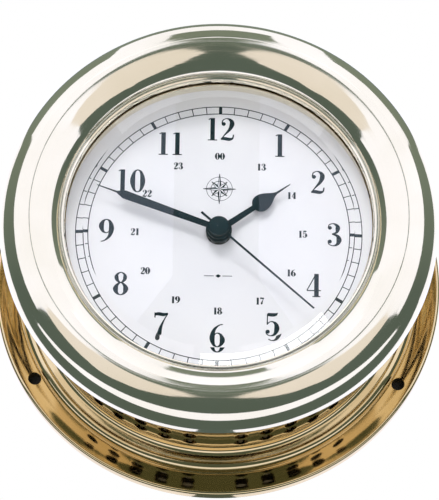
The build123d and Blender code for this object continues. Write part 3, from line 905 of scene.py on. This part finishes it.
def plastic(name, dark, light, rough=(0.35, 0.5), grain=0.15):
    """Moulded plastic with a spark-eroded grain."""
    finish = Finish(name)
    finish.feed("Base Color", finish.tint(finish.noise(70, 4), dark, light))
    finish.feed("Roughness", finish.ramp(finish.noise(350), *rough))
    finish.bump(finish.noise(4200, 2), grain, 0.00006)
    return finish.material


def circuit(name):
    """Green solder mask over faint copper tracks."""
    finish = Finish(name)
    cells = finish.node("TexVoronoi", {"Vector": finish.place}, distance="MANHATTAN", Scale=330.0)
    mask = finish.tint(cells.outputs["Distance"], (0.02, 0.16, 0.07), (0.01, 0.09, 0.04), 0.2, 0.3)
    finish.feed("Base Color", mask)
    finish.feed("Roughness", finish.ramp(finish.noise(300), 0.22, 0.35))
    finish.bump(cells.outputs["Distance"], 0.2, 0.00004)
    return finish.material


def winding(name):
    """Fine enamelled copper wire laid turn beside turn."""
    finish = Finish(name, Metallic=0.7)
    wave = finish.node(
        "TexWave", {"Vector": finish.place}, bands_direction="DIAGONAL", Scale=900.0, Distortion=0.6
    )
    finish.feed("Base Color", finish.tint(wave.outputs["Fac"], (0.28, 0.07, 0.015), (0.75, 0.30, 0.10)))
    finish.feed("Roughness", finish.ramp(finish.noise(500), 0.22, 0.36))
    finish.bump(wave.outputs["Fac"], 0.5, 0.0001)
    return finish.material


def battery_jacket(name):
    """Dark shrink jacket with a plain copper-coloured end band and bare steel ends."""
    finish = Finish(name)
    spread = finish.node("SeparateXYZ", {"Vector": finish.place})
    band = finish.tint(spread.outputs["X"], (0.03, 0.03, 0.035), (0.50, 0.22, 0.08), 0.0, 0.012)
    band.node.color_ramp.interpolation = "CONSTANT"
    finish.feed("Base Color", band)
    finish.feed("Roughness", finish.ramp(finish.noise(200), 0.2, 0.32))
    finish.bump(finish.noise(900, 2), 0.05, 0.00005)
    return finish.material


def make_finishes():
    """One material for each of the record's slots."""
    return {
        "case_brass": brass("case_brass", (0.70, 0.54, 0.28), (0.80, 0.63, 0.35)),
        "bezel_brass": brass("bezel_brass", (0.86, 0.79, 0.60), (0.92, 0.85, 0.67)),
        "reflector_brass": brass("reflector_brass", (0.80, 0.72, 0.52), (0.88, 0.80, 0.60), (0.10, 0.2)),
        "ring_brass": turned_brass("ring_brass"),
        "bush_brass": turned_brass("bush_brass"),
        "tube_brass": turned_brass("tube_brass"),
        "crystal_glass": clear_glass("crystal_glass"),
        "gasket_rubber": rubber("gasket_rubber"),
        "seal_rubber": rubber("seal_rubber", 0.015),
        "washer_rubber": rubber("washer_rubber", 0.025),
        "dial_enamel": enamel("dial_enamel"),
        # The cover is black paint, and its near-black also stands in for painted shade inside the case
        # behind the sound holes.
        "cover_paint": paint("cover_paint", (0.012,) * 3, (0.022,) * 3, (0.5, 0.65), 0.3),
        "steel_screws": steel("steel_screws", (0.55,) * 3, (0.72,) * 3),
        "steel_pins": steel("steel_pins", (0.6,) * 3, (0.75,) * 3, (0.12, 0.2)),
        "contact_steel": steel("contact_steel", (0.62, 0.61, 0.58), (0.78, 0.77, 0.74), (0.15, 0.25)),
        "can_steel": steel("can_steel", (0.6,) * 3, (0.74,) * 3, (0.2, 0.3)),
        "stator_steel": steel("stator_steel", (0.38,) * 3, (0.52,) * 3, (0.3, 0.45)),
        "hand_paint": paint("hand_paint", (0.0015, 0.010, 0.015), (0.003, 0.016, 0.023), gloss=0.1),
        "cap_paint": paint(
            "cap_paint", (0.0015, 0.010, 0.015), (0.003, 0.016, 0.022), (0.15, 0.22), gloss=0.2
        ),
        "nut_black": paint("nut_black", (0.01,) * 3, (0.02,) * 3),
        "housing_plastic": plastic("housing_plastic", (0.018,) * 3, (0.028,) * 3),
        "knob_plastic": plastic("knob_plastic", (0.70, 0.70, 0.68), (0.80, 0.80, 0.78)),
        "gear_plastic": plastic("gear_plastic", (0.78, 0.76, 0.70), (0.86, 0.85, 0.80), (0.28, 0.4), 0.05),
        "bobbin_plastic": plastic("bobbin_plastic", (0.68, 0.66, 0.60), (0.78, 0.76, 0.71)),
        "battery_jacket": battery_jacket("battery_jacket"),
        "board_green": circuit("board_green"),
        "chip_black": plastic("chip_black", (0.008,) * 3, (0.015,) * 3, (0.1, 0.18), 0.05),
        "copper_wire": winding("copper_wire"),
        "magnet": steel("magnet", (0.16,) * 3, (0.24,) * 3, (0.35, 0.5)),
    }


def paint_everything(finishes, pieces):
    """Gives each CAD node its slot's material, and each new piece the one of its own slot."""
    for entry in frame["record"]["subparts"]:
        node = nodes[entry["node"]]
        finish = finishes[entry["material_slot"]]
        if not node.material_slots:
            node.data.materials.append(finish)
        for material_slot in node.material_slots:
            material_slot.link = "OBJECT"
            material_slot.material = finish
    for piece in pieces:
        piece.data.materials.clear()
        piece.data.materials.append(finishes[piece["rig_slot"]])


# ---------------------------------------------------------------- stage, lights and camera


def stage_panel(name, corners, colour):
    """A flat studio panel of one colour. It isn't part of the clock."""
    mesh = bpy.data.meshes.new(name)
    mesh.from_pydata(corners, [], [tuple(range(len(corners)))])
    panel = bpy.data.objects.new(name, mesh)
    bpy.context.scene.collection.objects.link(panel)
    material = bpy.data.materials.new(name)
    material.use_nodes = True
    shader = material.node_tree.nodes["Principled BSDF"]
    shader.inputs["Base Color"].default_value = (*colour, 1)
    shader.inputs["Roughness"].default_value = 0.6
    mesh.materials.append(material)
    return panel


def make_stage():
    """A wide pale floor below the clock, and a dark disc of painted shade behind each fixing hole."""
    floor_z = cad_low.z - FLOOR_DROP
    reach = 4.0
    corners = [(-reach, -reach), (reach, -reach), (reach, reach), (-reach, reach)]
    floor = stage_panel("floor", [(x, y, floor_z) for x, y in corners], (0.86, 0.86, 0.85))
    # The brass mirrors the dim world instead of the floor.
    floor.visible_glossy = False
    # Each dark disc is painted shade seen through its hole; it is a little wider than its hole and lies
    # just behind the flange.
    disc_r = FIXING_HOLE_R + 0.7
    behind = 0.4
    for clockwise in FIXING_ANGLES:
        x, z = on_dial(FIXING_RING_R, clockwise)
        corners = []
        for k in range(24):
            edge_x, edge_z = on_dial(disc_r, -15 * k)
            corners.append(((x + edge_x) * MM, behind * MM, (z + edge_z) * MM))
        stage_panel("painted_shade_at_hole_%d" % clockwise, corners, (0.01, 0.01, 0.01))


def card(name, corners, colour=CARD_WHITE, strength=CARD_STRENGTH):
    """A glowing studio card that only shows as a reflection."""
    panel = stage_panel(name, corners, (0, 0, 0))
    shader = panel.data.materials[0].node_tree.nodes["Principled BSDF"]
    shader.inputs["Emission Color"].default_value = (*colour, 1)
    shader.inputs["Emission Strength"].default_value = strength
    panel.visible_camera = False
    panel.visible_diffuse = False
    panel.visible_transmission = False
    panel.visible_shadow = False


def level_card(name, outline, height):
    """A card that lies level at this height, its outline given as (x, y) points."""
    card(name, [(x, y, height) for x, y in outline])


def bearing(azimuth, distance):
    """(x, y) of a spot at this azimuth from straight in front of the clock."""
    angle = math.radians(azimuth)
    return distance * math.sin(angle), -distance * math.cos(angle)


def fan(name, side, edges, colour=CARD_WHITE, strength=CARD_STRENGTH):
    """Upright strips side by side. Each edge is its bearing, its foot and its top."""
    for k, (a, b) in enumerate(zip(edges, edges[1:])):
        start, end = bearing(side * a[0], CARD_REACH), bearing(side * b[0], CARD_REACH)
        corners = [(*start, a[1]), (*end, b[1]), (*end, b[2]), (*start, a[2])]
        card("%s_%d" % (name, k), corners, colour, strength)


# Upright edges of the cards: bearing in degrees, then foot and top in metres.
FRONT_EDGES = [
    (1.3, 0.64, 0.92),
    (4.5, 0.50, 1.3),
    (9, 0.36, 1.9),
    (20, 0.28, 1.9),
    (34, 0.02, 1.9),
    (57, -0.2, 1.9),
]
BEIGE_EDGES = [
    (2.5, -0.12, 0.40),
    (4.5, -0.25, 0.50),
    (9, -0.5, 0.36),
    (20, -0.75, 0.28),
    (34, -0.75, 0.02),
]
REAR_EDGES = [(112, 0.0, 1.4), (142, -0.45, 1.4), (176, -0.8, 1.4)]


def make_cards():
    """Cards left, right, overhead, below and behind. The dark gaps between them draw the bands
    in the brass: the gap overhead draws the wedge at 12 o'clock, and the narrow gap in front
    draws a thin line near the bezel's crest."""
    for side, word in ((-1, "left"), (1, "right")):
        fan("front_card_" + word, side, FRONT_EDGES)
        # The lower part of each front card is dimmer and warmer.
        fan("beige_card_" + word, side, BEIGE_EDGES, CARD_BEIGE, BEIGE_STRENGTH)
        inner, outer = 0.2 * side, 1.3 * side
        near, far = -0.35, -1.3
        outline = [(inner, far), (outer, far), (outer, near), (inner, near)]
        level_card("overhead_card_" + word, outline, CEILING)
        fan("rear_card_" + word, side, REAR_EDGES)
    level_card("top_card", [(-0.5, -0.35), (0.5, -0.35), (0.42, 0.3), (-0.42, 0.3)], CEILING)
    level_card("low_card", [(-2.6, -0.38), (2.6, -0.38), (2.6, -0.03), (-2.6, -0.03)], -0.7)
    # A sloping card over the bezel lights only the lower half of its inner roll.
    card(
        "brow_card",
        [(-0.1, -0.22, 0.19), (0.1, -0.22, 0.19), (0.32, -1.0, 0.75), (-0.32, -1.0, 0.75)],
    )


def soft_light(name, at, aim, width, tall, power, colour=(1, 1, 1)):
    """An area light for the dial and the paint. The metal sees the cards instead."""
    data = bpy.data.lights.new(name, "AREA")
    data.shape = "RECTANGLE"
    data.size = width
    data.size_y = tall
    data.energy = power
    data.color = colour
    light = bpy.data.objects.new(name, data)
    light.location = at
    light.rotation_euler = (Vector(aim) - Vector(at)).to_track_quat("-Z", "Y").to_euler()
    light.visible_glossy = False
    bpy.context.scene.collection.objects.link(light)


def make_lights():
    """A softbox high in front, a little to the left, and a wide, cooler one straight in front."""
    middle = (0, -0.06, 0)
    soft_light("top_softbox", (-0.2, -1.2, 1.0), middle, 0.5, 0.4, 9)
    soft_light("front_softbox", (0.0, -1.6, -0.1), middle, 1.4, 1.0, 9, (0.96, 0.98, 1.0))


def background(tree, strength, colour=(1, 1, 1)):
    """A background shader in the world's tree."""
    made = tree.nodes.new("ShaderNodeBackground")
    made.inputs["Color"].default_value = (*colour, 1)
    made.inputs["Strength"].default_value = strength
    return made


def make_world():
    """A white sweep behind the clock, soft pale fill on it, and a dim room in the metal."""
    world = bpy.data.worlds.new("studio")
    world.use_nodes = True
    tree = world.node_tree
    tree.nodes.remove(tree.nodes["Background"])
    sweep = background(tree, 1.0)
    fill = background(tree, 0.62, (0.97, 0.985, 1.0))
    room = background(tree, 1.0)
    aim = tree.nodes.new("ShaderNodeTexCoord")
    height = tree.nodes.new("ShaderNodeSeparateXYZ")
    shade = tree.nodes.new("ShaderNodeValToRGB")
    tree.links.new(aim.outputs["Generated"], height.inputs["Vector"])
    tree.links.new(height.outputs["Z"], shade.inputs["Fac"])
    tree.links.new(shade.outputs["Color"], room.inputs["Color"])
    shade.color_ramp.elements[0].position = 0.0
    shade.color_ramp.elements[0].color = (0.10, 0.135, 0.125, 1)
    shade.color_ramp.elements[1].position = 0.8
    shade.color_ramp.elements[1].color = (0.21, 0.26, 0.23, 1)
    path = tree.nodes.new("ShaderNodeLightPath")
    metal = tree.nodes.new("ShaderNodeMixShader")
    tree.links.new(path.outputs["Is Glossy Ray"], metal.inputs["Fac"])
    tree.links.new(fill.outputs["Background"], metal.inputs[1])
    tree.links.new(room.outputs["Background"], metal.inputs[2])
    seen = tree.nodes.new("ShaderNodeMixShader")
    tree.links.new(path.outputs["Is Camera Ray"], seen.inputs["Fac"])
    tree.links.new(metal.outputs["Shader"], seen.inputs[1])
    tree.links.new(sweep.outputs["Background"], seen.inputs[2])
    tree.links.new(seen.outputs["Shader"], tree.nodes["World Output"].inputs["Surface"])
    bpy.context.scene.world = world


def make_camera():
    """A long lens from below, looking up at the dial as the clock hangs."""
    data = bpy.data.cameras.new("camera")
    data.sensor_width = 36.0
    data.lens = 251.0
    data.clip_start = 0.05
    camera = bpy.data.objects.new("camera", data)
    aside = -0.002
    distance = 1.45
    elevation = math.radians(22.0)
    camera.location = (aside, -distance * math.cos(elevation), -distance * math.sin(elevation))
    pitch = math.radians(22.63)
    forward = Vector((0.0, math.cos(pitch), math.sin(pitch)))
    turn = forward.to_track_quat("-Z", "Y").to_matrix().to_4x4()
    roll = Matrix.Rotation(math.radians(0.9), 4, "Z")
    camera.rotation_euler = (turn @ roll).to_euler()
    data.shift_x = 0.012
    bpy.context.scene.collection.objects.link(camera)
    bpy.context.scene.camera = camera


bpy.context.scene.view_settings.view_transform = "Standard"
pieces = [
    flange_ring(),
    drum_shell(),
    bezel_ring(),
    crystal_glass(),
    reflector_collar(),
    dial_track(),
    dial_numerals(),
    dial_small_numerals(),
    dial_ornaments(),
]
paint_everything(make_finishes(), pieces)
make_stage()
make_world()
make_lights()
make_cards()
make_camera()
